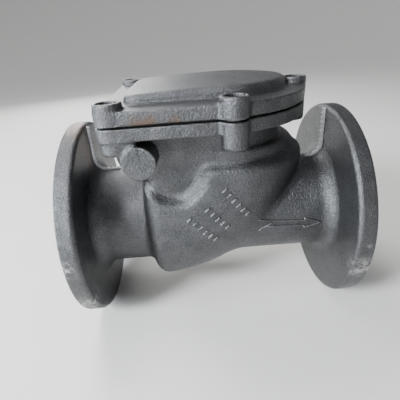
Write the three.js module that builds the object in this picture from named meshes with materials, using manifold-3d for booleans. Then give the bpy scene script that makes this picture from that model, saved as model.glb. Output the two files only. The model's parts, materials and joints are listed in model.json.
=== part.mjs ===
// Flanged swing check valve with a bolted cover, modelled at full size in millimetres, +Z up.
// The pipe runs along X and the flow goes towards +X. Inside, a disc hangs from an arm on a
// cross pin: forward flow lifts it towards the cover, and gravity and back flow close it.
// Everything is dimensioned from the pipe axis; the last group lifts that axis above the ground.

import * as THREE from 'three';
import { mergeVertices } from 'three/addons/utils/BufferGeometryUtils.js';
import Module from 'manifold-3d';

const wasm = await Module();
wasm.setup();

// ---------------------------------------------------------------- driving dimensions

const FIT_GAP = 0.3;              // air between pieces that touch in the real valve

const FLANGE_RADIUS = 112;
const FLANGE_FACE = 150;          // half of the face-to-face length
const FLANGE_THICKNESS = 18;
const FLANGE_EDGE = 2;            // rounding of the rim
const FOOT_FLAT = 0.4;            // depth of the flat that each rim stands on
const HUB_RADIUS = 73;
const HUB_STEP = 3;
const NECK_START = 113;           // where the hub's taper has reached the neck
const INLET_NECK_RADIUS = 57;
const OUTLET_NECK_RADIUS = 55;
const BORE_RADIUS = 49;

const HINGE_X = -66;
const HINGE_Z = 93;

const BOWL_RADIUS = 75;           // section of the bowl, which is swept about the hinge axis
const BOWL_WALL = 8;
const BOWL_LEFT = -71;
const SHOULDER_Z = 75;
const SEAT_WALL_FACE = -62;       // downstream face of the wall that holds the seat

const THROAT_HALF_WIDTH = 66.5;   // the upright walls between the bowl and the cover flange
const THROAT_LEFT = -80;
const THROAT_CENTRE = 13.5;       // centre of its round right end
const THROAT_WALL = 7.5;
const THROAT_BOTTOM = 20;
const CHAMBER_RADIUS = 27;        // round housing about the hinge pin
const CHAMBER_POCKET = 20;

const RIM_HALF_WIDTH = 93.5;      // cover flange and cover, seen from above
const RIM_LEFT = -99.5;
const RIM_CENTRE = 9.4;
const RIM_CORNER = 12.5;
const RIM_BOTTOM = 113.5;
const RIM_TOP = 125.5;
const COVER_BOTTOM = 127;
const COVER_TOP = 139.5;
const DOME_SHOULDER = 146;
const DOME_TOP = 151.5;
const DOME_INSIDE_TOP = 143;
const EAR_RADIUS = 12.3;
const EAR_BOTTOM = 99.5;
const EAR_TOP = 145.8;
const EARS = [[-87, -81], [20, -90.5], [95, 0], [20, 90.5], [-87, 81]];
const SCREW_RADIUS = 5;
const SCREW_HOLE = 5.5;
const SCREW_HOLE_BOTTOM = 106;
const SCREW_TIP = 108;
const HEAD_RADIUS = 8;
const HEAD_HOLE = 8.8;
const HEAD_HOLE_BOTTOM = 131;
const HEAD_BOTTOM = 133;
const HEAD_TOP = 142.6;
const HEX_SOCKET = 4.6;           // corner radius of the screw's hexagon socket

const BOSS_RADIUS = 15.5;         // the two hinge bosses on the outside of the body
const BOSS_FACE = 93;
const BEARING_RADIUS = 11.5;
const BEARING_END = 84;
const BUSH_GAP = 0.4;
const PLUG_CORNER_RADIUS = 13.6;
const PLUG_HEAD_HEIGHT = 8;
const PIN_RADIUS = 8;
const PIN_END = 82;
const SET_SCREW_RADIUS = 4;

const SEAT_BACK = -67;
const SEAT_FACE = -59;
const SEAT_RADIUS = 56;

const DISC_RADIUS = 57;
const DISC_FRONT = -54.7;
const DISC_BACK = -44.7;
const SEAL_INNER = 44;
const RETAINER_RADIUS = 46;
const SPIGOT_HEIGHT = 4;
const RETAINER_THICKNESS = 3;
const RETAINER_SCREW_CIRCLE = 30;
const RETAINER_SCREW_RADIUS = 3;
const LUG_HALF_THICKNESS = 7;
const LUG_RADIUS = 12.5;
const DISC_PIN_X = -29;
const DISC_PIN_RADIUS = 6;
const COTTER_Y = 20.1;
const FORK_HALF_WIDTH = 15.5;
const ARM_BOSS_RADIUS = 14;

const IRON = { color: 0x66676a, roughness: 0.62, metalness: 0.55 };
const BRASS = { color: 0xb08d4a, roughness: 0.38, metalness: 0.95 };
const STEEL = { color: 0x8e9094, roughness: 0.36, metalness: 0.95 };
const DARK_STEEL = { color: 0x2c2d30, roughness: 0.5, metalness: 0.7 };
const RUBBER = { color: 0x1b1b1c, roughness: 0.85, metalness: 0 };
const FIBRE = { color: 0x3a3834, roughness: 0.9, metalness: 0 };

// ---------------------------------------------------------------- solids and meshes

// A closed geometry becomes a solid; triangles that shrink to a line at a pole are dropped.
function solid(geometry) {
  const bare = geometry.clone();
  bare.deleteAttribute('normal');
  bare.deleteAttribute('uv');
  const merged = mergeVertices(bare, 1e-3);
  const triangles = [];
  for (let i = 0; i < merged.index.count; i += 3) {
    const [a, b, c] = [0, 1, 2].map((k) => merged.index.getX(i + k));
    if (a !== b && b !== c && c !== a) triangles.push(a, b, c);
  }
  return new wasm.Manifold(new wasm.Mesh({
    numProp: 3,
    vertProperties: new Float32Array(merged.attributes.position.array),
    triVerts: new Uint32Array(triangles),
  }));
}

const join = (pieces) => pieces.map(solid).reduce((whole, piece) => whole.add(piece));
const cut = (whole, pieces) => pieces.reduce((rest, piece) => rest.subtract(solid(piece)), whole);

function geometryOf(shape) {
  const mesh = shape.getMesh();
  const geometry = new THREE.BufferGeometry();
  geometry.setAttribute('position', new THREE.BufferAttribute(mesh.vertProperties, 3));
  geometry.setIndex(new THREE.BufferAttribute(mesh.triVerts, 1));
  geometry.computeVertexNormals();
  return geometry;
}

function part(name, geometry, look) {
  const mesh = new THREE.Mesh(geometry, new THREE.MeshStandardMaterial(look));
  mesh.name = name;
  return mesh;
}

// Turns a geometry made about the Y axis so that it lies along the named axis.
function along(axis, geometry) {
  if (axis === 'x') geometry.rotateZ(-Math.PI / 2);
  if (axis === 'z') geometry.rotateX(Math.PI / 2);
  return geometry;
}

// A round bar between two stations on an axis; centre gives its other two coordinates.
function bar(axis, radius, from, to, centre = [0, 0, 0], segments = 36) {
  const geometry = new THREE.CylinderGeometry(radius, radius, to - from, segments);
  geometry.translate(0, (from + to) / 2, 0);
  return along(axis, geometry).translate(...centre);
}

function ring(axis, inner, outer, from, to, centre = [0, 0, 0], segments = 36) {
  return turned(axis, [[inner, from], [outer, from], [outer, to], [inner, to], [inner, from]],
    centre, segments);
}

// A turned shape from [radius, station] points.
function turned(axis, profile, centre = [0, 0, 0], segments = 60) {
  const points = profile.map(([radius, station]) => new THREE.Vector2(radius, station));
  return along(axis, new THREE.LatheGeometry(points, segments)).translate(...centre);
}

function block([x0, x1], [y0, y1], [z0, z1]) {
  const geometry = new THREE.BoxGeometry(x1 - x0, y1 - y0, z1 - z0);
  return geometry.translate((x0 + x1) / 2, (y0 + y1) / 2, (z0 + z1) / 2);
}

// An outline seen from above, from z0 up to z1.
function slab(outline, z0, z1, curveSegments = 10) {
  const settings = { depth: z1 - z0, bevelEnabled: false, curveSegments };
  return new THREE.ExtrudeGeometry(outline, settings).translate(0, 0, z0);
}

// An outline in the XZ plane, from y0 to y1.
function plate(outline, y0, y1, curveSegments = 10) {
  const settings = { depth: y1 - y0, bevelEnabled: false, curveSegments };
  return new THREE.ExtrudeGeometry(outline, settings).rotateX(Math.PI / 2).translate(0, y1, 0);
}

// The plan of the throat, rim and dome: a square-cornered left end and a round right end.
function roundEnded(left, halfWidth, centre, corner) {
  const outline = new THREE.Shape();
  outline.moveTo(left + corner, -halfWidth);
  outline.lineTo(centre, -halfWidth);
  outline.absarc(centre, 0, halfWidth, -Math.PI / 2, Math.PI / 2, false);
  outline.lineTo(left + corner, halfWidth);
  outline.absarc(left + corner, halfWidth - corner, corner, Math.PI / 2, Math.PI, false);
  outline.absarc(left + corner, corner - halfWidth, corner, Math.PI, 1.5 * Math.PI, false);
  return outline;
}

function throatOpening() {
  return roundEnded(THROAT_LEFT + THROAT_WALL, THROAT_HALF_WIDTH - THROAT_WALL, THROAT_CENTRE, 10);
}

function polygon(points) {
  return new THREE.Shape(points.map(([x, y]) => new THREE.Vector2(x, y)));
}

const sides = [['front', -1], ['rear', 1]];
const stretch = (side, near, far) => (side < 0 ? [-far, -near] : [near, far]);

// ---------------------------------------------------------------- body casting

// One flange with its hub and neck. side is -1 for the inlet and 1 for the outlet.
function flangedNeck(side, neckRadius, reach) {
  const back = FLANGE_FACE - FLANGE_THICKNESS;
  const taper = new THREE.QuadraticBezierCurve(
    new THREE.Vector2(HUB_RADIUS - 2, back - HUB_STEP),
    new THREE.Vector2(neckRadius + 2, back - HUB_STEP - 4),
    new THREE.Vector2(neckRadius, NECK_START),
  ).getPoints(6).map((point) => [point.x, point.y]);
  const profile = [
    [0, FLANGE_FACE],
    [FLANGE_RADIUS - FLANGE_EDGE, FLANGE_FACE],
    [FLANGE_RADIUS, FLANGE_FACE - FLANGE_EDGE],
    [FLANGE_RADIUS, back + FLANGE_EDGE],
    [FLANGE_RADIUS - FLANGE_EDGE, back],
    [HUB_RADIUS, back],
    ...taper,
    [neckRadius, reach],
    [0, reach],
  ].map(([radius, station]) => [radius, side * station]);
  return turned('x', side < 0 ? profile : profile.reverse());
}

function bowl(radius, left, top) {
  const sweep = new THREE.TorusGeometry(HINGE_Z, radius, 28, 64);
  sweep.rotateX(Math.PI / 2).translate(HINGE_X, 0, HINGE_Z);
  return solid(sweep).intersect(solid(block([left, 120], [-90, 90], [-90, top])));
}

function hingeBoss(side) {
  const [y0, y1] = stretch(side, 60, BOSS_FACE);
  const web = polygon([
    [HINGE_X - 14, HINGE_Z + 5],
    [HINGE_X + 14, HINGE_Z + 5],
    [HINGE_X + 9, RIM_BOTTOM + 1],
    [HINGE_X - 16, RIM_BOTTOM + 1],
  ]);
  return [
    bar('y', BOSS_RADIUS, y0, y1, [HINGE_X, 0, HINGE_Z]),
    plate(web, y0, y1),
  ];
}

function bodyCasting() {
  const axis = [HINGE_X, 0, HINGE_Z];
  const throat = roundEnded(THROAT_LEFT, THROAT_HALF_WIDTH, THROAT_CENTRE, 14);
  const rim = roundEnded(RIM_LEFT, RIM_HALF_WIDTH, RIM_CENTRE, RIM_CORNER);
  const insideHalf = THROAT_HALF_WIDTH - THROAT_WALL;
  const opening = throatOpening();

  const outside = join([
    flangedNeck(-1, INLET_NECK_RADIUS, 60),
    flangedNeck(1, OUTLET_NECK_RADIUS, 20),
    bar('y', CHAMBER_RADIUS, -THROAT_HALF_WIDTH, THROAT_HALF_WIDTH, axis, 40),
    slab(rim, RIM_BOTTOM, RIM_TOP, 14),
    ...EARS.map(([x, y]) => bar('z', EAR_RADIUS, EAR_BOTTOM, RIM_TOP, [x, y, 0], 24)),
    ...hingeBoss(-1),
    ...hingeBoss(1),
  ]);
  const walls = cut(solid(slab(throat, THROAT_BOTTOM, RIM_BOTTOM + 1, 14)), [
    block([THROAT_LEFT - 1, BOWL_LEFT], [-80, 80], [THROAT_BOTTOM - 1, HINGE_Z]),
  ]);
  const shell = outside.add(walls).add(bowl(BOWL_RADIUS, BOWL_LEFT, SHOULDER_Z));

  // The flap's room: the bowl, the throat above it, and the pocket about the hinge pin.
  const room = bowl(BOWL_RADIUS - BOWL_WALL, SEAT_WALL_FACE, SHOULDER_Z - BOWL_WALL)
    .add(cut(solid(slab(opening, HINGE_Z - 60, RIM_TOP + 1, 14)), [
      block([THROAT_LEFT, SEAT_WALL_FACE], [-80, 80], [0, HINGE_Z]),
    ]))
    .add(solid(bar('y', CHAMBER_POCKET, -insideHalf, insideHalf, axis)));

  return cut(shell.subtract(room), [
    bar('x', BORE_RADIUS, -FLANGE_FACE - 1, SEAT_WALL_FACE + 1, [0, 0, 0], 64),
    bar('x', BORE_RADIUS, 0, FLANGE_FACE + 1, [0, 0, 0], 64),
    bar('x', SEAT_RADIUS + 0.4, SEAT_BACK - FIT_GAP, SEAT_WALL_FACE + 1, [0, 0, 0], 64),
    bar('y', BEARING_RADIUS, -BEARING_END, BOSS_FACE + 1, axis),
    ...EARS.map(([x, y]) => bar('z', SCREW_HOLE, SCREW_HOLE_BOTTOM, RIM_TOP + 1, [x, y, 0], 24)),
    block([-160, 160], [-30, 30], [-120, FOOT_FLAT - FLANGE_RADIUS]),
  ]);
}

// ---------------------------------------------------------------- cover and its screws

function coverCasting() {
  const rim = roundEnded(RIM_LEFT, RIM_HALF_WIDTH, RIM_CENTRE, RIM_CORNER);
  const dome = roundEnded(-78, 67.5, 17, 16);
  const crown = roundEnded(-73, 62.5, 17, 12);
  const outside = join([
    slab(rim, COVER_BOTTOM, COVER_TOP, 14),
    slab(dome, COVER_TOP - 1, DOME_SHOULDER, 14),
    slab(crown, DOME_SHOULDER - 1, DOME_TOP, 14),
    ...EARS.map(([x, y]) => bar('z', EAR_RADIUS + 0.4, COVER_BOTTOM, EAR_TOP, [x, y, 0], 24)),
  ]);
  return cut(outside, [
    slab(throatOpening(), COVER_BOTTOM - 1, DOME_INSIDE_TOP, 12),
    ...EARS.map(([x, y]) => bar('z', SCREW_HOLE, COVER_BOTTOM - 1, EAR_TOP, [x, y, 0], 24)),
    ...EARS.map(([x, y]) => bar('z', HEAD_HOLE, HEAD_HOLE_BOTTOM, EAR_TOP + 1, [x, y, 0], 24)),
  ]);
}

function coverGasket() {
  const edge = roundEnded(RIM_LEFT + 4, RIM_HALF_WIDTH - 4, RIM_CENTRE, RIM_CORNER - 4);
  const opening = throatOpening();
  const [z0, z1] = [RIM_TOP + FIT_GAP, COVER_BOTTOM - FIT_GAP];
  const sheet = join([
    slab(edge, z0, z1),
    ...EARS.map(([x, y]) => bar('z', 8.5, z0, z1, [x, y, 0], 24)),
  ]);
  return cut(sheet, [
    slab(opening, z0 - 1, z1 + 1),
    ...EARS.map(([x, y]) => bar('z', SCREW_HOLE, z0 - 1, z1 + 1, [x, y, 0], 24)),
  ]);
}

// Hexagon-socket cap screw: its head is sunk in the cover's ear, its tip is in the body's ear.
function coverScrew([x, y]) {
  const outside = turned('z', [
    [0, SCREW_TIP], [SCREW_RADIUS - 1, SCREW_TIP], [SCREW_RADIUS, SCREW_TIP + 1],
    [SCREW_RADIUS, HEAD_BOTTOM], [HEAD_RADIUS, HEAD_BOTTOM],
    [HEAD_RADIUS, HEAD_TOP - 0.8], [HEAD_RADIUS - 0.8, HEAD_TOP], [0, HEAD_TOP],
  ], [x, y, 0], 20);
  return cut(solid(outside), [bar('z', HEX_SOCKET, HEAD_TOP - 5, HEAD_TOP + 1, [x, y, 0], 6)]);
}

// ---------------------------------------------------------------- hinge, arm and disc

function bush(side) {
  const [y0, y1] = stretch(side, THROAT_HALF_WIDTH - THROAT_WALL + 1, BEARING_END - FIT_GAP);
  return ring('y', PIN_RADIUS + BUSH_GAP, BEARING_RADIUS - BUSH_GAP, y0, y1, [HINGE_X, 0, HINGE_Z]);
}

// Hexagon-head plug that closes the rear bearing.
function hingePlug() {
  const start = BEARING_END + FIT_GAP;
  const head = BOSS_FACE + 2.4;
  const thread = bar('y', BEARING_RADIUS - BUSH_GAP, start, head + 0.5, [HINGE_X, 0, HINGE_Z]);
  return join([
    thread,
    bar('y', PLUG_CORNER_RADIUS, head, head + PLUG_HEAD_HEIGHT, [HINGE_X, 0, HINGE_Z], 6),
  ]);
}

// The arm drops from the pin, passes behind the disc's upper edge and forks round its lug.
function hingeArm() {
  const shank = polygon([
    [-38, 0], [-38, 50], [-43, 64], [-60, 82], [-72, 104], [-56, 104], [-28, 77], [-20, 52], [-20, 0],
  ]);
  const outside = join([
    bar('y', ARM_BOSS_RADIUS, -FORK_HALF_WIDTH, FORK_HALF_WIDTH, [HINGE_X, 0, HINGE_Z]),
    plate(shank, -FORK_HALF_WIDTH + 3, FORK_HALF_WIDTH - 3),
    bar('y', LUG_RADIUS, -FORK_HALF_WIDTH, FORK_HALF_WIDTH, [DISC_PIN_X, 0, 0]),
  ]);
  const slot = LUG_HALF_THICKNESS + 0.6;
  return cut(outside, [
    bar('y', PIN_RADIUS + FIT_GAP, -30, 30, [HINGE_X, 0, HINGE_Z]),
    bar('y', DISC_PIN_RADIUS + 0.4, -30, 30, [DISC_PIN_X, 0, 0], 32),
    block([-60, 0], [-slot, slot], [-20, 20]),
    bar('z', SET_SCREW_RADIUS + 0.4, HINGE_Z, HINGE_Z + 20, [HINGE_X, 0, 0], 24),
  ]);
}

function discCasting() {
  const lug = new THREE.Shape();
  lug.moveTo(DISC_BACK - 1, -17);
  lug.lineTo(DISC_BACK, -17);
  lug.bezierCurveTo(DISC_BACK + 6, -16, DISC_BACK + 7, -LUG_RADIUS, DISC_PIN_X, -LUG_RADIUS);
  lug.absarc(DISC_PIN_X, 0, LUG_RADIUS, -Math.PI / 2, Math.PI / 2, false);
  lug.bezierCurveTo(DISC_BACK + 7, LUG_RADIUS, DISC_BACK + 6, 16, DISC_BACK, 17);
  lug.lineTo(DISC_BACK - 1, 17);
  const spigot = DISC_FRONT - SPIGOT_HEIGHT;
  const outside = join([
    turned('x', [
      [0, spigot], [SEAL_INNER - 0.4, spigot], [SEAL_INNER - 0.4, DISC_FRONT],
      [DISC_RADIUS - 1, DISC_FRONT], [DISC_RADIUS, DISC_FRONT + 1], [DISC_RADIUS, DISC_BACK - 2],
      [DISC_RADIUS - 2, DISC_BACK], [0, DISC_BACK],
    ]),
    plate(lug, -LUG_HALF_THICKNESS, LUG_HALF_THICKNESS, 10),
  ]);
  return cut(outside, [
    bar('y', DISC_PIN_RADIUS + 0.4, -20, 20, [DISC_PIN_X, 0, 0], 32),
    ...retainerScrewPlaces().map(([y, z]) => (
      bar('x', RETAINER_SCREW_RADIUS + 0.4, spigot - 1, spigot + 9, [0, y, z], 20))),
  ]);
}

function retainerScrewPlaces() {
  return [45, 135, 225, 315].map((degrees) => {
    const angle = THREE.MathUtils.degToRad(degrees);
    return [RETAINER_SCREW_CIRCLE * Math.cos(angle), RETAINER_SCREW_CIRCLE * Math.sin(angle)];
  });
}

function sealRetainer() {
  const back = DISC_FRONT - SPIGOT_HEIGHT - FIT_GAP;
  const front = back - RETAINER_THICKNESS;
  const outside = turned('x', [
    [0, front], [RETAINER_RADIUS - 1.5, front], [RETAINER_RADIUS, front + 1.5],
    [RETAINER_RADIUS, back], [0, back],
  ]);
  return cut(solid(outside), retainerScrewPlaces().map(([y, z]) => (
    bar('x', RETAINER_SCREW_RADIUS + 0.4, front - 1, back + 1, [0, y, z], 20))));
}

// Pan-head screw, from the retainer into the disc.
function retainerScrew([y, z]) {
  const seat = DISC_FRONT - SPIGOT_HEIGHT - RETAINER_THICKNESS - 2 * FIT_GAP;
  const tip = seat + 11;
  return turned('x', [
    [0, seat - 2.6], [3.4, seat - 2.6], [5, seat - 1.2], [5, seat],
    [RETAINER_SCREW_RADIUS, seat], [RETAINER_SCREW_RADIUS, tip], [0, tip],
  ], [0, y, z], 20);
}

function discPin() {
  const reach = FORK_HALF_WIDTH + FIT_GAP;
  return turned('y', [
    [0, -reach - 4], [8, -reach - 4], [9, -reach - 3], [9, -reach], [DISC_PIN_RADIUS, -reach],
    [DISC_PIN_RADIUS, reach + 6], [DISC_PIN_RADIUS - 1, reach + 7], [0, reach + 7],
  ], [DISC_PIN_X, 0, 0], 28);
}

// ---------------------------------------------------------------- assembly

const casing = new THREE.Group();
casing.add(part('body', geometryOf(bodyCasting()), IRON));
casing.add(part('bonnet', geometryOf(coverCasting()), IRON));
casing.add(part('bonnet_gasket', geometryOf(coverGasket()), FIBRE));
EARS.forEach((ear, i) => {
  const washer = ring('z', SCREW_HOLE, HEAD_RADIUS + 0.2,
    HEAD_HOLE_BOTTOM + FIT_GAP, HEAD_BOTTOM - FIT_GAP, [...ear, 0], 28);
  casing.add(part(`bonnet_screw_${i + 1}`, geometryOf(coverScrew(ear)), DARK_STEEL));
  casing.add(part(`bonnet_washer_${i + 1}`, washer, STEEL));
});
casing.add(part('seat_ring', turned('x', [
  [BORE_RADIUS, SEAT_BACK], [SEAT_RADIUS, SEAT_BACK], [SEAT_RADIUS, SEAT_FACE - 1],
  [SEAT_RADIUS - 1, SEAT_FACE], [BORE_RADIUS + 1, SEAT_FACE], [BORE_RADIUS, SEAT_FACE - 1],
  [BORE_RADIUS, SEAT_BACK],
], [0, 0, 0], 64), BRASS));
sides.forEach(([name, side]) => casing.add(part(`hinge_bush_${name}`, bush(side), BRASS)));
casing.add(part('hinge_plug', geometryOf(hingePlug()), STEEL));
casing.add(part('hinge_plug_washer',
  ring('y', 12, 15, BOSS_FACE + FIT_GAP, BOSS_FACE + 2, [HINGE_X, 0, HINGE_Z], 40), BRASS));

const swingingArm = new THREE.Group();
swingingArm.add(part('hinge_arm', geometryOf(hingeArm()), IRON));
swingingArm.add(part('hinge_pin', turned('y', [
  [0, -PIN_END], [PIN_RADIUS - 1, -PIN_END], [PIN_RADIUS, 1 - PIN_END],
  [PIN_RADIUS, PIN_END - 1], [PIN_RADIUS - 1, PIN_END], [0, PIN_END],
], [HINGE_X, 0, HINGE_Z], 40), STEEL));
sides.forEach(([name, side]) => {
  const [y0, y1] = stretch(side, FORK_HALF_WIDTH + FIT_GAP, THROAT_HALF_WIDTH - THROAT_WALL - FIT_GAP);
  swingingArm.add(part(`arm_spacer_${name}`,
    ring('y', PIN_RADIUS + FIT_GAP, 11, y0, y1, [HINGE_X, 0, HINGE_Z], 40), STEEL));
});
swingingArm.add(part('arm_set_screw', bar('z', SET_SCREW_RADIUS,
  HINGE_Z + PIN_RADIUS + FIT_GAP, HINGE_Z + 16, [HINGE_X, 0, 0], 24), DARK_STEEL));
swingingArm.add(part('disc_pin', geometryOf(cut(solid(discPin()), [
  bar('z', 1.8, -10, 10, [DISC_PIN_X, COTTER_Y, 0], 12),
])), STEEL));
swingingArm.add(part('disc_pin_washer',
  ring('y', DISC_PIN_RADIUS + FIT_GAP, 10, FORK_HALF_WIDTH + FIT_GAP, FORK_HALF_WIDTH + 2,
    [DISC_PIN_X, 0, 0], 28), STEEL));
swingingArm.add(part('disc_pin_cotter',
  bar('z', 1.4, -11, 11, [DISC_PIN_X, COTTER_Y, 0], 12), STEEL));

const disc = new THREE.Group();
disc.add(part('flap_disc', geometryOf(discCasting()), IRON));
disc.add(part('disc_seal',
  ring('x', SEAL_INNER, DISC_RADIUS, DISC_FRONT - SPIGOT_HEIGHT, DISC_FRONT - FIT_GAP,
    [0, 0, 0], 72), RUBBER));
disc.add(part('seal_retainer', geometryOf(sealRetainer()), STEEL));
retainerScrewPlaces().forEach((place, i) => {
  disc.add(part(`retainer_screw_${i + 1}`, retainerScrew(place), STEEL));
});

const group = new THREE.Group();
group.position.z = FLANGE_RADIUS - FOOT_FLAT;
group.add(casing, swingingArm, disc);

export default group;
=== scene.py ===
"""Looks for a flanged swing check valve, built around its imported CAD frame.

The castings (body, cover, hinge arm and disc) are modelled as distance fields: round fillets
join cast shapes, hard cuts make machined ones. A surface-net mesher turns each field into a
closed mesh. All other CAD nodes keep their shape and get a procedural material.
"""

import json
import math

import bpy
import numpy as np
from mathutils import Matrix, Vector


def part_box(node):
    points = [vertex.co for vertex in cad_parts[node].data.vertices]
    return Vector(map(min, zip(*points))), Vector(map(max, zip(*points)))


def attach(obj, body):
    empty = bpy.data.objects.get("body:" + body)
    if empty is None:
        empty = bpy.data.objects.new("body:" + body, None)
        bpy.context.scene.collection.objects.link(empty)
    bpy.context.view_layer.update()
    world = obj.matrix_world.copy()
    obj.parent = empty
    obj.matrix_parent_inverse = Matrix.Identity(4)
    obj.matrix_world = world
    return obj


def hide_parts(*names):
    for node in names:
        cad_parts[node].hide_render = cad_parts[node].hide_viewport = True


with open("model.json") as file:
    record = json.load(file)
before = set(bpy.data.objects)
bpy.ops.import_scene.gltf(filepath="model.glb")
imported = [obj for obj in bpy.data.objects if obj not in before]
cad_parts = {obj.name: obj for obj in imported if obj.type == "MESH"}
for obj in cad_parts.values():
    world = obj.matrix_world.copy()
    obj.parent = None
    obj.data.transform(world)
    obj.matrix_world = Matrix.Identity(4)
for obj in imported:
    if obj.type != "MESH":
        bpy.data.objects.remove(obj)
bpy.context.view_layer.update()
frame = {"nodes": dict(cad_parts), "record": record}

# ------------------------------------------------------------------ sizes from the frame
# Field shapes are measured in millimetres from the middle of the pipe axis.

MM = 0.001


def box_mm(node):
    """Lowest and highest corner of a CAD node in millimetres from the pipe axis."""
    low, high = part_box(node)
    return (low - AXIS) / MM, (high - AXIS) / MM


def middle(node):
    low, high = box_mm(node)
    return (low + high) / 2


seal_low, seal_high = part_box("disc_seal")
AXIS = Vector((0, 0, (seal_low.z + seal_high.z) / 2))

body_low, body_high = box_mm("body")
cover_low, cover_high = box_mm("bonnet")
ear_places = [middle(f"bonnet_screw_{i}") for i in range(1, 6)]
hinge = middle("hinge_pin")
disc_pin = middle("disc_pin")
seat_low, seat_high = box_mm("seat_ring")
disc_low, disc_high = box_mm("flap_disc")
arm_high = box_mm("hinge_arm")[1]
seal_front = disc_low.x
retainer_places = [middle(f"retainer_screw_{i}") for i in range(1, 5)]

FACE = body_high.x                    # pipe flange face, either way from the middle
FLANGE_RADIUS = body_high.y
FOOT = body_low.z                     # flat that each flange stands on
FLANGE_THICKNESS = 18
FLANGE_BACK_EDGE = 4.5
FLANGE_FACE_EDGE = 2.5
NECK_FILLET = 15
INLET_NECK = 57
OUTLET_NECK = 55
BORE = 49

BOWL = 75
BOWL_WALL = 8
BOWL_REACH = 78                       # half height of its section, away from the hinge
BOWL_LEFT = -71
BOWL_HEEL_EDGE = 16
FLATTER_INWARD = 0.45                 # squash of its section on the side of the hinge
SHOULDER = 76
SHOULDER_EDGE = 8
SEAT_WALL = -62
THROAT_LEFT = -80
THROAT_HALF = 63.5
THROAT_CENTRE = 13.5
THROAT_WALL = 5
THROAT_CORNER = 14
OPENING_HALF = THROAT_HALF - THROAT_WALL
OPENING_CORNER = 10
WALL_LEFT = BOWL_LEFT + 3
WALL_BOTTOM = 15
WALL_CORNER = 12
RECESS = 36                           # hollow in the bowl's side, below the hinge boss
RECESS_X = -47
RECESS_Z = 76
RECESS_END = (-66, 48)
RECESS_END_EDGE = 26
RECESS_EDGE = 11
COLLAR = 72
COLLAR_HALF = 66.5
COLLAR_CENTRE = 16
COLLAR_BOTTOM = 58
COLLAR_TOP = 91
COLLAR_SLOPE = 0.77                   # how fast it widens downwards on its right
COLLAR_FLARE = 12                     # and how far
CHAMBER = 27
POCKET = 20

RIM_LEFT = -99.5
RIM_HALF = 93.5
RIM_CENTRE = 9.4
RIM_CORNER = 12.5
RIM_BOTTOM = 113.5
RIM_TOP = body_high.z
RIM_EDGE = 1.6
COVER_BOTTOM = cover_low.z
COVER_TOP = 139.5
DOME_LEFT = -78
DOME_HALF = 67.5
DOME_CENTRE = 17
DOME_CORNER = 16
DOME_DRAFT = 0.12
DOME_TOP = cover_high.z
CROWN_X = 6
CROWN_FLATNESS = 2600
COVER_WALL = 8.5
EAR = 12.2
EAR_BOTTOM = 99.5
EAR_TOP = 145.8
EAR_EDGE = 1.6
EAR_FOOT_EDGE = 4.5
SCREW_FLOOR = 131
SCREW_HOLE = 5.5
HEAD_HOLE = 8.8

BOSS = 15.5
BOSS_ROOT = 58
BOSS_FACE = 93
BEARING = 11.5
BEARING_END = 84
DISC_BACK = -44.7
DISC_PIN_HOLE = 6.4
SPIGOT = 43.6
SPIGOT_DEPTH = 4
LUG = 12.4
LUG_HALF = 7
RETAINER_HOLE = 3.4
RETAINER_DEPTH = 9
SHANK = 8.6
HINGE_EYE = 13.8
HINGE_HOLE = 8.3
PIN_EYE = 12.3
FORK_HALF = 7.6
FORK_TOP = 20
SET_SCREW_HOLE = 4.4
SEAT_GAP = 0.3

CAST_WAVE = 0.12                      # unevenness of the body and the cover
ARM_WAVE = 0.08
DISC_WAVE = 0.06

# ------------------------------------------------------------------ distance fields


def join(a, b, fillet):
    """Union of two fields with a round inside fillet."""
    return np.maximum(fillet, np.minimum(a, b)) - np.hypot(
        np.maximum(fillet - a, 0), np.maximum(fillet - b, 0))


def keep(a, b, edge):
    """The part inside both fields, with its outer edge rounded."""
    return np.minimum(-edge, np.maximum(a, b)) + np.hypot(
        np.maximum(edge + a, 0), np.maximum(edge + b, 0))


def cut(a, b, edge):
    """The first field without the second, with the edge rounded."""
    return keep(a, -b, edge)


def between(value, low, high):
    return np.abs(value - (low + high) / 2) - (high - low) / 2


def drum(radius_here, station, radius, low, high, edge):
    """A round disc or bar: distance from its axis, station along it."""
    return keep(radius_here - radius, between(station, low, high), edge)


def round_ended(x, y, left, half, centre, corner):
    """Plan of the throat, rim and dome: two corners on the left, a half circle on the right."""
    over_side = np.abs(y) - half + corner
    over_end = left - x + corner
    squared = np.hypot(np.maximum(over_side, 0), np.maximum(over_end, 0)) + np.minimum(
        np.maximum(over_side, over_end), 0) - corner
    return np.where(x > centre, np.hypot(x - centre, y) - half, squared)


def around_hinge(x, z):
    return np.hypot(x - hinge.x, z - hinge.z)


def around_ears(x, y):
    """Distance from the nearest of the five screws' axes."""
    return np.minimum.reduce([np.hypot(x - e.x, y - e.y) for e in ear_places])


def opening_plan(x, y):
    """Plan of the opening under the cover, inside the throat's wall."""
    return round_ended(x, y, THROAT_LEFT + THROAT_WALL, OPENING_HALF, THROAT_CENTRE, OPENING_CORNER)


def rim_plan(x, y):
    """Plan that the body's rim and the cover share."""
    return round_ended(x, y, RIM_LEFT, RIM_HALF, RIM_CENTRE, RIM_CORNER)


def half_plane(u, v, point, normal):
    """Distance beyond a line in the (u, v) plane."""
    length = math.hypot(*normal)
    return ((u - point[0]) * normal[0] + (v - point[1]) * normal[1]) / length


def ears(x, y, z, low, high, radius, edge):
    """The five screw ears, as one field."""
    return drum(around_ears(x, y), z, radius, low, high, edge)


def screw_holes(x, y, z, radius, low, high):
    return np.maximum(around_ears(x, y) - radius, between(z, low, high))


def waviness(x, y, z, size):
    """Slow, shallow unevenness of a sand casting, as a sum of slanted waves."""
    waves = np.sin(x / 11.3 + 0.8 * np.sin(z / 19.0)) * np.sin(y / 13.9 + 1.3)
    waves = waves + 0.7 * np.sin((x + z) / 23.1 + 2.1) * np.sin((y - z) / 17.7)
    return size * waves


# ------------------------------------------------------------------ body casting


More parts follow.
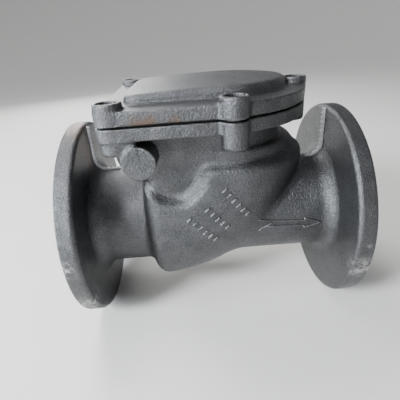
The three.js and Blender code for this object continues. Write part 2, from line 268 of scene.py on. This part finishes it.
def flanged_neck(station, radius_here, neck):
    """Flange and neck; station grows from the middle of the valve to the flange face.

    The CAD body also has a hub behind each flange, which isn't shown. It stays in the collision
    shape, where it is up to about 10 mm wider than the fillet here.
    """
    back = FACE - FLANGE_THICKNESS
    rim = keep(radius_here - FLANGE_RADIUS, back - station, FLANGE_BACK_EDGE)
    rim = keep(rim, station - FACE, FLANGE_FACE_EDGE)
    tube = drum(radius_here, station, neck, 10, FACE - 2, 1)
    return join(tube, rim, NECK_FILLET)


def hinge_boss(x, y, z, side):
    """One of the two round bosses on the hinge axis, with the web that rises to the rim."""
    depth = side * y
    from_hinge = around_hinge(x, z)
    boss = drum(from_hinge, depth, BOSS, BOSS_ROOT, BOSS_FACE, 1.2)
    across = between(depth, BOSS_ROOT, BOSS_FACE - 1.5)
    web = keep(across, between(z, hinge.z, RIM_BOTTOM + 3), 2)
    web = keep(web, half_plane(x, z, (hinge.x + 1, hinge.z + 12), (1, 0.2)), 4)
    web = keep(web, half_plane(x, z, (hinge.x - BOSS, hinge.z + 2), (-1, -0.35)), 3)
    return join(boss, web, 3)


def outer_body(x, y, z):
    radius = np.hypot(y, z)
    from_hinge = around_hinge(x, z)

    from_sweep = from_hinge - hinge.z
    from_sweep = from_sweep * np.where(from_sweep < 0, FLATTER_INWARD, BOWL / BOWL_REACH)
    bowl = np.hypot(from_sweep, y) - BOWL
    bowl = keep(bowl, BOWL_LEFT - x, BOWL_HEEL_EDGE)
    bowl = keep(bowl, z - SHOULDER, SHOULDER_EDGE)
    hollow = np.hypot(x - RECESS_X, z - RECESS_Z) - RECESS
    hollow = keep(hollow, half_plane(x, z, RECESS_END, (-1, -1)), RECESS_END_EDGE)
    bowl = cut(bowl, hollow, RECESS_EDGE)

    walls = round_ended(x, y, WALL_LEFT, THROAT_HALF, THROAT_CENTRE, WALL_CORNER)
    walls = keep(walls, between(z, WALL_BOTTOM, RIM_BOTTOM + 4), 2)
    box = round_ended(x, y, THROAT_LEFT, THROAT_HALF, THROAT_CENTRE, THROAT_CORNER)
    box = keep(box, between(z, hinge.z, RIM_BOTTOM + 4), 2)
    chamber = drum(from_hinge, y, CHAMBER, -THROAT_HALF, THROAT_HALF, 8)
    walls = join(join(walls, chamber, 6), box, 3)

    from_centre = np.hypot(x - THROAT_CENTRE, y)
    rightward = np.clip((x - THROAT_CENTRE) / np.maximum(from_centre, 1), 0, 1) ** 2
    slope_out = np.minimum((COLLAR_TOP - z) * COLLAR_SLOPE, COLLAR_FLARE) * rightward
    collar = np.hypot(x - COLLAR_CENTRE, y * COLLAR / COLLAR_HALF) - COLLAR - slope_out
    collar = keep(collar * 0.8, between(z, COLLAR_BOTTOM, COLLAR_TOP), 4)

    shape = join(bowl, walls, 7)
    shape = join(shape, collar, 5)
    shape = join(shape, flanged_neck(-x, radius, INLET_NECK), 9)
    shape = join(shape, flanged_neck(x, radius, OUTLET_NECK), 6)

    rim = keep(rim_plan(x, y), between(z, RIM_BOTTOM, RIM_TOP), RIM_EDGE)
    lugs = ears(x, y, z, EAR_BOTTOM, RIM_TOP, EAR, EAR_EDGE)
    lugs = keep(lugs, EAR_BOTTOM - z, EAR_FOOT_EDGE)
    rim = join(rim, lugs, 3)
    shape = join(shape, rim, 3.5)
    for side in (-1, 1):
        shape = join(shape, hinge_boss(x, y, z, side), 3)
    return shape


def body_room(x, y, z):
    """The passage through the body, with the room in which the flap swings."""
    radius = np.hypot(y, z)
    from_hinge = around_hinge(x, z)
    bowl = np.hypot(from_hinge - hinge.z, y) - (BOWL - BOWL_WALL)
    bowl = keep(bowl, SEAT_WALL - x, 2)
    bowl = keep(bowl, z - (SHOULDER - BOWL_WALL - 1), 3)
    over_seat = np.where(z > hinge.z, -20, SEAT_WALL - x)
    opening = np.maximum(np.maximum(opening_plan(x, y), hinge.z - 60 - z), over_seat)
    pocket = drum(from_hinge, y, POCKET, -OPENING_HALF, OPENING_HALF, 3)
    room = join(join(bowl, opening, 4), pocket, 4)

    outlet = np.maximum(radius - BORE, -x)
    room = join(room, outlet, 6)
    inlet = np.maximum(radius - BORE, x - SEAT_WALL - 1)
    seat_length = between(x, seat_low.x - SEAT_GAP, SEAT_WALL + 2)
    seat = np.maximum(radius - (seat_high.y + SEAT_GAP), seat_length)
    return np.minimum(np.minimum(room, inlet), seat)


def body_field(x, y, z):
    from_hinge = around_hinge(x, z)
    shape = outer_body(x, y, z) + waviness(x, y, z, CAST_WAVE)
    shape = np.maximum(shape, np.abs(x) - FACE)
    shape = np.maximum(shape, np.abs(y) - FLANGE_RADIUS)
    shape = np.maximum(shape, z - RIM_TOP)
    shape = np.maximum(shape, FOOT - z)
    shape = cut(shape, body_room(x, y, z), 0.8)
    bearing = np.maximum(from_hinge - BEARING, between(y, -BEARING_END, BOSS_FACE + 5))
    shape = cut(shape, bearing, 0.5)
    return cut(shape, screw_holes(x, y, z, SCREW_HOLE, 106, RIM_TOP + 5), 0.5)


# ------------------------------------------------------------------ cover casting


def cover_field(x, y, z):
    crown = DOME_TOP - ((x - CROWN_X) ** 2 + y ** 2) / CROWN_FLATNESS
    rim = keep(rim_plan(x, y), between(z, COVER_BOTTOM, COVER_TOP), 1.8)
    lugs = ears(x, y, z, COVER_BOTTOM, EAR_TOP, EAR + 0.5, EAR_EDGE)
    dome = round_ended(x, y, DOME_LEFT, DOME_HALF, DOME_CENTRE, DOME_CORNER)
    dome = dome + (z - COVER_TOP) * DOME_DRAFT
    dome = keep(dome, np.maximum(z - crown, COVER_BOTTOM + 2 - z), 5)
    shape = join(join(rim, dome, 3), lugs, 3)
    shape = shape + waviness(x + 40, y, z, CAST_WAVE)
    shape = np.maximum(shape, COVER_BOTTOM - z)

    hollow = keep(opening_plan(x, y), z - (crown - COVER_WALL), 4)
    shape = cut(shape, hollow, 0.8)
    shape = cut(shape, screw_holes(x, y, z, SCREW_HOLE, COVER_BOTTOM - 5, EAR_TOP), 0.4)
    return cut(shape, screw_holes(x, y, z, HEAD_HOLE, SCREW_FLOOR, EAR_TOP + 5), 0.8)


# ------------------------------------------------------------------ arm and disc castings


def from_segment(u, v, start, end):
    """Distance in a plane from the line between two points."""
    along = np.array(end, float) - np.array(start, float)
    share = np.clip(((u - start[0]) * along[0] + (v - start[1]) * along[1]) / (along @ along), 0, 1)
    return np.hypot(u - start[0] - share * along[0], v - start[1] - share * along[1])


def arm_field(x, y, z):
    """The arm drops from the hinge pin, clears the disc's edge and forks round the disc's lug."""
    from_hinge = around_hinge(x, z)
    from_pin = np.hypot(x - disc_pin.x, z)
    half = arm_high.y
    route = [(disc_pin.x, 0), (disc_pin.x, 48), (disc_pin.x - 7, 68), (hinge.x, hinge.z)]
    shank = np.minimum.reduce([from_segment(x, z, a, b) for a, b in zip(route, route[1:])])
    shank = keep(shank - SHANK, np.abs(y) - half + 3, 2.5)
    boss = drum(from_hinge, y, HINGE_EYE, -half, half, 1)
    eye = drum(from_pin, y, PIN_EYE, -half, half, 1.2)
    shape = join(join(shank, boss, 5), eye, 4) + waviness(x, y, z, ARM_WAVE)
    slot = np.maximum(np.maximum(np.abs(y) - FORK_HALF, z - FORK_TOP), hinge.x - x)
    shape = cut(shape, slot, 1)
    shape = cut(shape, from_hinge - HINGE_HOLE, 0.6)
    shape = cut(shape, from_pin - DISC_PIN_HOLE, 0.6)
    set_screw = np.maximum(np.hypot(x - hinge.x, y) - SET_SCREW_HOLE, hinge.z - z)
    return cut(shape, set_screw, 0.4)


def disc_field(x, y, z):
    """Round plate with a spigot for the seal on its front and an arched lug on its back."""
    radius = np.hypot(y, z)
    from_pin = np.hypot(x - disc_pin.x, z)
    plate = drum(radius, x, disc_high.y, seal_front + SPIGOT_DEPTH, DISC_BACK, 1.6)
    lug = np.maximum(np.maximum(np.abs(z) - LUG, x - disc_pin.x), DISC_BACK - 4 - x)
    lug = keep(np.minimum(lug, from_pin - LUG), np.abs(y) - LUG_HALF, 1.8)
    shape = join(plate, lug, 5) + waviness(x, y, z, DISC_WAVE)
    spigot = drum(radius, x, SPIGOT, seal_front, DISC_BACK - 2, 0.4)
    shape = np.minimum(np.maximum(shape, seal_front + SPIGOT_DEPTH - x), spigot)
    shape = cut(shape, from_pin - DISC_PIN_HOLE, 0.6)
    nearest = np.minimum.reduce([np.hypot(y - p.y, z - p.z) for p in retainer_places])
    holes = np.maximum(nearest - RETAINER_HOLE, x - seal_front - RETAINER_DEPTH)
    return cut(shape, holes, 0.3)


# ------------------------------------------------------------------ fields to meshes


SLAB = 24                             # grid slices worked out at a time


def corner_values(field, axes):
    """The field on every grid point, a slice of the grid at a time to save memory."""
    x, y, z = axes
    slices = []
    for start in range(0, len(x), SLAB):
        part = x[start:start + SLAB, None, None]
        values = field(part, y[None, :, None], z[None, None, :])
        slices.append(np.broadcast_to(values, (len(part), len(y), len(z))).astype(np.float32))
    return np.concatenate(slices)


def slope(field, points, reach=0.05):
    """Gradient of the field at points, by central differences."""
    parts = []
    for axis in range(3):
        ahead = points.copy()
        behind = points.copy()
        ahead[:, axis] += reach
        behind[:, axis] -= reach
        parts.append((field(*ahead.T) - field(*behind.T)) / (2 * reach))
    return np.stack(parts, axis=1)


def unit(vectors):
    return vectors / np.maximum(np.linalg.norm(vectors, axis=1), 1e-6)[:, None]


def settle(field, points, limit, rounds=4):
    """Moves points onto the field's surface, each step along the slope and no longer than limit."""
    for _ in range(rounds):
        grade = slope(field, points)
        steepness = np.maximum((grade ** 2).sum(axis=1), 0.05)
        move = -grade * (field(*points.T) / steepness)[:, None]
        length = np.maximum(np.linalg.norm(move, axis=1), 1e-9)
        points = points + move * np.minimum(1, limit / length)[:, None]
    return points


def surface_net(field, low, high, step):
    """Vertices and quads of the field's surface: one vertex in every cell that it crosses."""
    axes = [np.arange(a - 2 * step, b + 3 * step, step, dtype=np.float32) for a, b in zip(low, high)]
    inside = corner_values(field, axes) < 0
    cells = [n - 1 for n in inside.shape]
    count = np.zeros(cells, np.uint8)
    for i in (0, 1):
        for j in (0, 1):
            for k in (0, 1):
                count += inside[i:i + cells[0], j:j + cells[1], k:k + cells[2]]
    crossed = (count > 0) & (count < 8)
    number = np.full(cells, -1, np.int64)
    where = np.argwhere(crossed)
    number[crossed] = np.arange(len(where))
    points = np.stack([axes[a][where[:, a]] + step / 2 for a in range(3)], axis=1).astype(float)

    quads = []
    for axis in range(3):
        b, c = (axis + 1) % 3, (axis + 2) % 3
        first = np.take(inside, range(0, inside.shape[axis] - 1), axis)
        second = np.take(inside, range(1, inside.shape[axis]), axis)
        for outward, edges in ((True, first & ~second), (False, second & ~first)):
            at = np.argwhere(edges)
            ring = []
            for db, dc in ((0, 0), (-1, 0), (-1, -1), (0, -1)):
                cell = at.copy()
                cell[:, b] += db
                cell[:, c] += dc
                ring.append(number[tuple(cell.T)])
            order = ring if outward else ring[::-1]
            quads.append(np.stack(order, axis=1))
    return settle(field, points, step), np.concatenate(quads)


def mesh_piece(name, points, faces, body, material):
    """A smooth-shaded piece from points in millimetres, riding on a body."""
    mesh = bpy.data.meshes.new(name)
    mesh.from_pydata([tuple(p) for p in np.asarray(points) * MM + np.array(AXIS)], [],
                     [tuple(f) for f in faces])
    mesh.polygons.foreach_set("use_smooth", [True] * len(mesh.polygons))
    mesh.materials.append(material)
    piece = bpy.data.objects.new(name, mesh)
    bpy.context.scene.collection.objects.link(piece)
    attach(piece, body)
    return piece


def cast_piece(name, field, node, body, material, step):
    """A casting meshed from its field in place of the CAD node."""
    low, high = box_mm(node)
    points, faces = surface_net(field, low, high, step)
    piece = mesh_piece(name, points, faces, body, material)
    normals = unit(slope(field, points))
    piece.data.normals_split_custom_set_from_vertices([tuple(n) for n in normals])
    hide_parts(node)
    return piece


# ------------------------------------------------------------------ raised marks on the casting


LINE_SPACING = 1.2
IN_FRONT = -90.0                      # y of a plane in front of the bowl and the necks
APPROACH_ROUNDS = 60
APPROACH_SHARE = 0.8                  # share of the distance left that each round covers
SEAM_LIMIT = 4
BEAD_SINK = 0.1
BEAD_ROOT = 0.8
BEAD_END_SIZE = 0.45


def resampled(path, spacing):
    """Points along a polyline in the (x, z) plane at even spacing."""
    path = np.array(path, float)
    lengths = np.linalg.norm(np.diff(path, axis=0), axis=1)
    at = np.concatenate([[0], np.cumsum(lengths)])
    count = max(4, int(round(at[-1] / spacing)) + 1)
    stations = np.linspace(0, at[-1], count)
    return np.stack([np.interp(stations, at, path[:, k]) for k in (0, 1)], axis=1)


def front_line(path):
    """Points and normals of a line on the body's front, from its (x, z) path.

    The points start in front of the body and step backwards until they meet it.
    """
    places = resampled(path, LINE_SPACING)
    points = np.stack([places[:, 0], np.full(len(places), IN_FRONT), places[:, 1]], axis=1)
    for _ in range(APPROACH_ROUNDS):
        points[:, 1] += APPROACH_SHARE * outer_body(*points.T)
    return points, unit(slope(outer_body, points))


def seam_line(path):
    """The same for a line in the middle plane, where the two halves of the mould met."""
    places = resampled(path, LINE_SPACING)
    points = np.stack([places[:, 0], np.zeros(len(places)), places[:, 1]], axis=1)
    points = settle(outer_body, points, SEAM_LIMIT)
    return points, unit(slope(outer_body, points))


def bead(points, normals, width, height, ragged):
    """Vertices and faces of a raised rounded line; ragged makes its size vary along it."""
    across = np.cross(normals, unit(np.gradient(points, axis=0)))
    angles = np.linspace(0, math.pi, 7)
    verts = []
    for i, (point, normal, side) in enumerate(zip(points, normals, across)):
        size = 1 + ragged * math.sin(2.4 * i) * math.sin(0.9 * i + 1)
        if i in (0, len(points) - 1):
            size = BEAD_END_SIZE
        for angle in angles:
            verts.append(point + side * math.cos(angle) * width / 2 * size
                         + normal * (math.sin(angle) * height * size - BEAD_SINK))
        verts.append(point - side * width / 2 * size - normal * BEAD_ROOT)
        verts.append(point + side * width / 2 * size - normal * BEAD_ROOT)
    loop = len(angles) + 2
    faces = []
    for i in range(len(points) - 1):
        for j in range(loop):
            k = (j + 1) % loop
            faces.append((i * loop + j, i * loop + k, (i + 1) * loop + k, (i + 1) * loop + j))
    faces.append(tuple(range(loop))[::-1])
    faces.append(tuple((len(points) - 1) * loop + j for j in range(loop)))
    return verts, faces


def raised(name, lines, width, height, material, ragged=0.0):
    """One piece made of several beads."""
    verts, faces = [], []
    for points, normals in lines:
        bead_verts, bead_faces = bead(points, normals, width, height, ragged)
        faces += [tuple(v + len(verts) for v in face) for face in bead_faces]
        verts += bead_verts
    return mesh_piece(name, verts, faces, "casing", material)


def dash_row(start, end, count, tall):
    """Plain dashes side by side along a row, each standing across it."""
    start, end = np.array(start, float), np.array(end, float)
    along = (end - start) / np.linalg.norm(end - start)
    up = np.array([-along[1], along[0]])
    paths = []
    for i in range(count):
        foot = start + (end - start) * (i + 0.5) / count
        paths.append([foot - up * tall / 2, foot + up * tall / 2])
    return paths


# The flow arrow: a swallow tail, a slim shaft and a head that points downstream.
ARROW = [(47.5, 7.5), (58, 3.6), (100, 0.6), (99, 3.4), (117.5, -3), (99, -9.2), (100, -5.6),
         (60, -3.4), (48.5, -7.6), (63, 0.4), (47.5, 7.5)]
# Flash on the mould's parting line: down the back of a flange and along the neck.
INLET_SEAM = [(-131, 109), (-131, 72), (-124, 66), (-116, 60), (-103, 59)]
OUTLET_SEAM = [(131, 110), (131, 72), (124, 65), (116, 59), (112, 57)]
DASH_HEIGHT = 7.5
# Rows of dashes on the bowl: start, end and number of dashes.
MARK_ROWS = [((8, 56), (36, 20), 6), ((-10, 36), (15, 7), 5), ((-29, 26), (2, -7), 6)]


# ------------------------------------------------------------------ materials


class Nodes:
    """A short way to write a material's node tree."""

    def __init__(self, name):
        self.material = bpy.data.materials.new(name)
        self.material.use_nodes = True
        self.tree = self.material.node_tree
        self.shader = self.tree.nodes["Principled BSDF"]

    def add(self, kind, inputs=None, **settings):
        node = self.tree.nodes.new(kind)
        for key, value in settings.items():
            setattr(node, key, value)
        for key, value in (inputs or {}).items():
            self.put(value, node.inputs[key])
        return node

    def put(self, value, socket):
        if isinstance(value, bpy.types.NodeSocket):
            self.tree.links.new(value, socket)
        else:
            socket.default_value = value

    def noise(self, scale, detail=4, roughness=0.55, offset=(0, 0, 0)):
        place = self.add("ShaderNodeTexCoord").outputs["Object"]
        shifted = self.add("ShaderNodeVectorMath", {0: place, 1: offset}, operation="ADD")
        node = self.add("ShaderNodeTexNoise", {
            "Vector": shifted.outputs[0], "Scale": scale, "Detail": detail, "Roughness": roughness})
        return node.outputs["Fac"]

    def ramp(self, value, low, high, to_low=0.0, to_high=1.0):
        node = self.add("ShaderNodeMapRange", {
            "Value": value, "From Min": low, "From Max": high, "To Min": to_low, "To Max": to_high})
        node.interpolation_type = "SMOOTHSTEP"
        return node.outputs["Result"]

    def maths(self, operation, a, b):
        return self.add("ShaderNodeMath", {0: a, 1: b}, operation=operation).outputs[0]

    def mix(self, amount, a, b):
        node = self.add("ShaderNodeMix", {0: amount, 6: a, 7: b}, data_type="RGBA")
        return node.outputs[2]

    def bump(self, height, distance, strength=1.0, below=None):
        inputs = {"Height": height, "Distance": distance, "Strength": strength}
        if below is not None:
            inputs["Normal"] = below
        return self.add("ShaderNodeBump", inputs).outputs["Normal"]


def near(nodes, place_mm, reach_mm, fade_mm):
    """1 within reach of a place given in millimetres from the pipe axis, fading to 0."""
    place = nodes.add("ShaderNodeTexCoord").outputs["Object"]
    target = Vector(place_mm) * MM + AXIS
    distance = nodes.add("ShaderNodeVectorMath", {0: place, 1: target}, operation="DISTANCE")
    return nodes.ramp(distance.outputs["Value"], reach_mm * MM, (reach_mm + fade_mm) * MM, 1.0, 0.0)


WORN_COLOUR = (0.42, 0.42, 0.42, 1)
STAIN_COLOUR = (0.12, 0.075, 0.045, 1)
RUST_COLOUR = (0.12, 0.072, 0.045, 1)
SCUFF_COLOUR = (0.50, 0.50, 0.49, 1)


def cast_iron(name, rust_spots=(), scuffs=(), tone=1.0, metallic=1.0):
    """Shot-blasted grey iron: fine grain, mottled tone, bright worn edges, a little rust.

    Each rust spot and scuff is a place, a reach and a fade, in millimetres.
    """
    n = Nodes(name)
    dark = (0.060 * tone, 0.062 * tone, 0.065 * tone, 1)
    light = (0.150 * tone, 0.153 * tone, 0.160 * tone, 1)
    grain = n.noise(900, 3, 0.6)
    mottle = n.noise(55, 5, 0.6)
    fine_share = n.ramp(grain, 0.35, 0.68, 0.0, 0.65)
    broad_share = n.ramp(mottle, 0.3, 0.7, 0.0, 0.35)
    tone_mix = n.maths("ADD", fine_share, broad_share)
    colour = n.mix(tone_mix, dark, light)

    edge = n.ramp(n.add("ShaderNodeNewGeometry").outputs["Pointiness"], 0.515, 0.60)
    worn = n.maths("MULTIPLY", edge, n.ramp(n.noise(160, 4), 0.35, 0.6))
    colour = n.mix(n.maths("MULTIPLY", worn, 0.35), colour, WORN_COLOUR)

    stain = n.ramp(n.noise(28, 6, 0.65, (3, 1, 2)), 0.60, 0.78)
    colour = n.mix(n.maths("MULTIPLY", stain, 0.30), colour, STAIN_COLOUR)
    for place, reach, fade in rust_spots:
        spot = n.maths("MULTIPLY", near(n, place, reach, fade), n.ramp(n.noise(120, 5, 0.7), 0.3, 0.6))
        colour = n.mix(n.maths("MULTIPLY", spot, 0.65), colour, RUST_COLOUR)
    bright = None
    for place, reach, fade in scuffs:
        spot = n.maths("MULTIPLY", near(n, place, reach, fade), n.ramp(n.noise(200, 4, 0.6), 0.42, 0.58))
        bright = spot if bright is None else n.maths("MAXIMUM", bright, spot)
    if bright is not None:
        colour = n.mix(n.maths("MULTIPLY", bright, 0.8), colour, SCUFF_COLOUR)

    rough = n.ramp(grain, 0.3, 0.7, 0.50, 0.32)
    pits = n.add("ShaderNodeTexVoronoi", {
        "Vector": n.add("ShaderNodeTexCoord").outputs["Object"], "Scale": 420}).outputs["Distance"]
    coarse = n.bump(pits, 0.0008, 0.4)
    fine = n.bump(grain, 0.0010, 0.8, coarse)
    n.put(colour, n.shader.inputs["Base Color"])
    n.put(rough, n.shader.inputs["Roughness"])
    n.shader.inputs["Metallic"].default_value = metallic
    n.put(fine, n.shader.inputs["Normal"])
    return n.material


def turned_metal(name, dark, light, roughness, axis):
    """Lathe-turned metal: fine rings across the turning axis, slight smudges."""
    n = Nodes(name)
    place = n.add("ShaderNodeTexCoord").outputs["Object"]
    stretch = tuple(1800 if a == axis else 60 for a in "XYZ")
    stretched = n.add("ShaderNodeVectorMath", {0: place, 1: stretch}, operation="MULTIPLY").outputs[0]
    lines = n.add("ShaderNodeTexNoise", {"Vector": stretched, "Scale": 1.0, "Detail": 3}).outputs["Fac"]
    smudge = n.noise(90, 4, 0.6)
    n.put(n.mix(n.ramp(smudge, 0.35, 0.7), dark, light), n.shader.inputs["Base Color"])
    n.put(n.ramp(smudge, 0.3, 0.7, roughness - 0.08, roughness + 0.12), n.shader.inputs["Roughness"])
    n.shader.inputs["Metallic"].default_value = 1.0
    n.put(n.bump(lines, 0.0001, 0.5), n.shader.inputs["Normal"])
    return n.material


def soft_sheet(name, dark, light, scale):
    """Rubber or fibre sheet: matt, faintly speckled."""
    n = Nodes(name)
    speck = n.noise(scale, 5, 0.65)
    n.put(n.mix(n.ramp(speck, 0.35, 0.65), dark, light), n.shader.inputs["Base Color"])
    n.put(n.ramp(speck, 0.3, 0.7, 0.75, 0.92), n.shader.inputs["Roughness"])
    n.put(n.bump(speck, 0.0003, 0.4), n.shader.inputs["Normal"])
    return n.material


def plain_floor():
    n = Nodes("floor_plain")
    colour = n.mix(n.noise(9, 3), (0.74, 0.73, 0.71, 1), (0.78, 0.77, 0.75, 1))
    n.put(colour, n.shader.inputs["Base Color"])
    n.shader.inputs["Roughness"].default_value = 0.9
    return n.material


# ------------------------------------------------------------------ camera, floor and light

CAMERA_PLACE = Vector((-0.0177, -0.3765, 0.1940)) + AXIS
CAMERA_LOOK = Vector((0.0098, 0.8967, -0.4425))
CAMERA_ROLL = math.radians(-4.26)
CAMERA_LENS = 30.66


def aim(place, direction, roll=0.0):
    turn = direction.to_track_quat("-Z", "Y").to_matrix().to_4x4()
    return Matrix.Translation(place) @ turn @ Matrix.Rotation(roll, 4, "Z")


def add_camera():
    data = bpy.data.cameras.new("photo_camera")
    data.lens = CAMERA_LENS
    data.sensor_width = 36
    camera = bpy.data.objects.new("photo_camera", data)
    camera.matrix_world = aim(CAMERA_PLACE, CAMERA_LOOK, CAMERA_ROLL)
    bpy.context.scene.collection.objects.link(camera)
    bpy.context.scene.camera = camera


def add_floor():
    """A flat round floor whose far edge sweeps up into a backdrop."""
    flat, rise, turns = 2.4, 4.0, 64
    profile = [(flat + rise * math.sin(a), rise * (1 - math.cos(a)))
               for a in np.linspace(0, math.pi / 2, 13)]
    verts = [(0, 0, 0)]
    for radius, height in profile:
        for i in range(turns):
            angle = 2 * math.pi * i / turns
            verts.append((radius * math.cos(angle), radius * math.sin(angle), height))
    faces = [(0, 1 + i, 1 + (i + 1) % turns) for i in range(turns)]
    for row in range(len(profile) - 1):
        start = 1 + row * turns
        for i in range(turns):
            j = (i + 1) % turns
            faces.append((start + i, start + turns + i, start + turns + j, start + j))
    mesh = bpy.data.meshes.new("floor")
    mesh.from_pydata(verts, [], faces)
    mesh.polygons.foreach_set("use_smooth", [True] * len(faces))
    mesh.materials.append(plain_floor())
    floor = bpy.data.objects.new("floor", mesh)
    bpy.context.scene.collection.objects.link(floor)


def add_light(name, place, target, size, power, colour=(1, 1, 1)):
    data = bpy.data.lights.new(name, "AREA")
    data.shape = "DISK"
    data.size = size
    data.energy = power
    data.color = colour
    lamp = bpy.data.objects.new(name, data)
    lamp.matrix_world = aim(Vector(place), Vector(target) - Vector(place))
    bpy.context.scene.collection.objects.link(lamp)


def add_lights():
    valve = (0, 0, 0.13)
    add_light("window", (-1.10, -1.05, 1.05), valve, 0.45, 55, (0.96, 0.98, 1))
    add_light("ceiling", (-0.5, 0.45, 1.35), valve, 0.6, 16)
    add_light("side", (-1.7, -0.75, 0.55), valve, 0.6, 46, (0.86, 0.93, 1))
    add_light("back", (-0.6, 1.5, 0.8), valve, 0.8, 16)
    sun = bpy.data.lights.new("sky", "SUN")
    sun.energy = 0.7
    sun.angle = math.radians(60)
    lamp = bpy.data.objects.new("sky", sun)
    lamp.matrix_world = aim(Vector((0, 0, 2)), Vector((0.3, 0.1, -1)))
    bpy.context.scene.collection.objects.link(lamp)
    world = bpy.data.worlds.new("soft_world")
    world.use_nodes = True
    background = world.node_tree.nodes["Background"]
    background.inputs["Color"].default_value = (0.93, 0.95, 1, 1)
    background.inputs["Strength"].default_value = 0.18
    bpy.context.scene.world = world


add_camera()
add_floor()
add_lights()

# ------------------------------------------------------------------ build

STEP = 1.7

iron = cast_iron(
    "cast_iron_body",
    rust_spots=[((-140, -12, 111), 6, 14), ((-132, -30, 100), 4, 14), ((-126, -8, 84), 8, 22)],
    scuffs=[((-141, -92, -52), 3, 16), ((-146, -108, 0), 2, 12), ((141, -108, -28), 3, 16)])
cover_iron = cast_iron(
    "cast_iron_cover",
    rust_spots=[((-62, -94, 129), 2, 9), ((-52, -94, 129), 2, 8), ((-30, -94, 129), 1, 7)])
inner_iron = cast_iron("cast_iron_inner", tone=0.85)
# Painted highlight for the flash beads: this tone takes the lightest base colour past 1, which is
# brighter than a real surface, so the thin fins look lit.
flash_highlight_iron = cast_iron("cast_iron_flash_painted_highlight", tone=9, metallic=0.0)
cast_piece("valve_body", body_field, "body", "casing", iron, STEP)
cast_piece("valve_cover", cover_field, "bonnet", "casing", cover_iron, STEP)

cast_piece("disc_casting", disc_field, "flap_disc", "disc", inner_iron, STEP)
cast_piece("arm_casting", arm_field, "hinge_arm", "arm", inner_iron, STEP)
raised("flow_arrow", [front_line(ARROW)], 2.1, 1.3, iron)
# The two flash beads take the painted-highlight iron: their brightness is painted into the base colour.
raised("inlet_flash", [seam_line(INLET_SEAM)], 2.6, 2.8, flash_highlight_iron, ragged=0.4)
raised("outlet_flash", [seam_line(OUTLET_SEAM)], 5.0, 3.2, flash_highlight_iron, ragged=0.5)
for number, (start, end, count) in enumerate(MARK_ROWS, 1):
    dashes = [front_line(path) for path in dash_row(start, end, count, DASH_HEIGHT)]
    raised(f"cast_dashes_{number}", dashes, 3.0, 1.5, iron)

brass = turned_metal("brass_turned", (0.45, 0.30, 0.10, 1), (0.72, 0.52, 0.22, 1), 0.32, "X")
steel = turned_metal("steel_turned", (0.34, 0.34, 0.35, 1), (0.55, 0.55, 0.56, 1), 0.34, "Y")
black = turned_metal("black_oxide", (0.015, 0.015, 0.017, 1), (0.05, 0.05, 0.055, 1), 0.42, "Z")
rubber = soft_sheet("rubber_seal", (0.012, 0.012, 0.012, 1), (0.03, 0.03, 0.03, 1), 700)
fibre = soft_sheet("gasket_fibre", (0.02, 0.019, 0.018, 1), (0.05, 0.047, 0.042, 1), 1100)
FINISH = {"brass": brass, "steel": steel, "black_screw": black, "rubber": rubber,
          "gasket_fibre": fibre, "inner_iron": inner_iron, "cast_iron": iron}

for subpart in frame["record"]["subparts"]:
    node = frame["nodes"][subpart["node"]]
    node.data.materials.clear()
    node.data.materials.append(FINISH[subpart["material_slot"]])
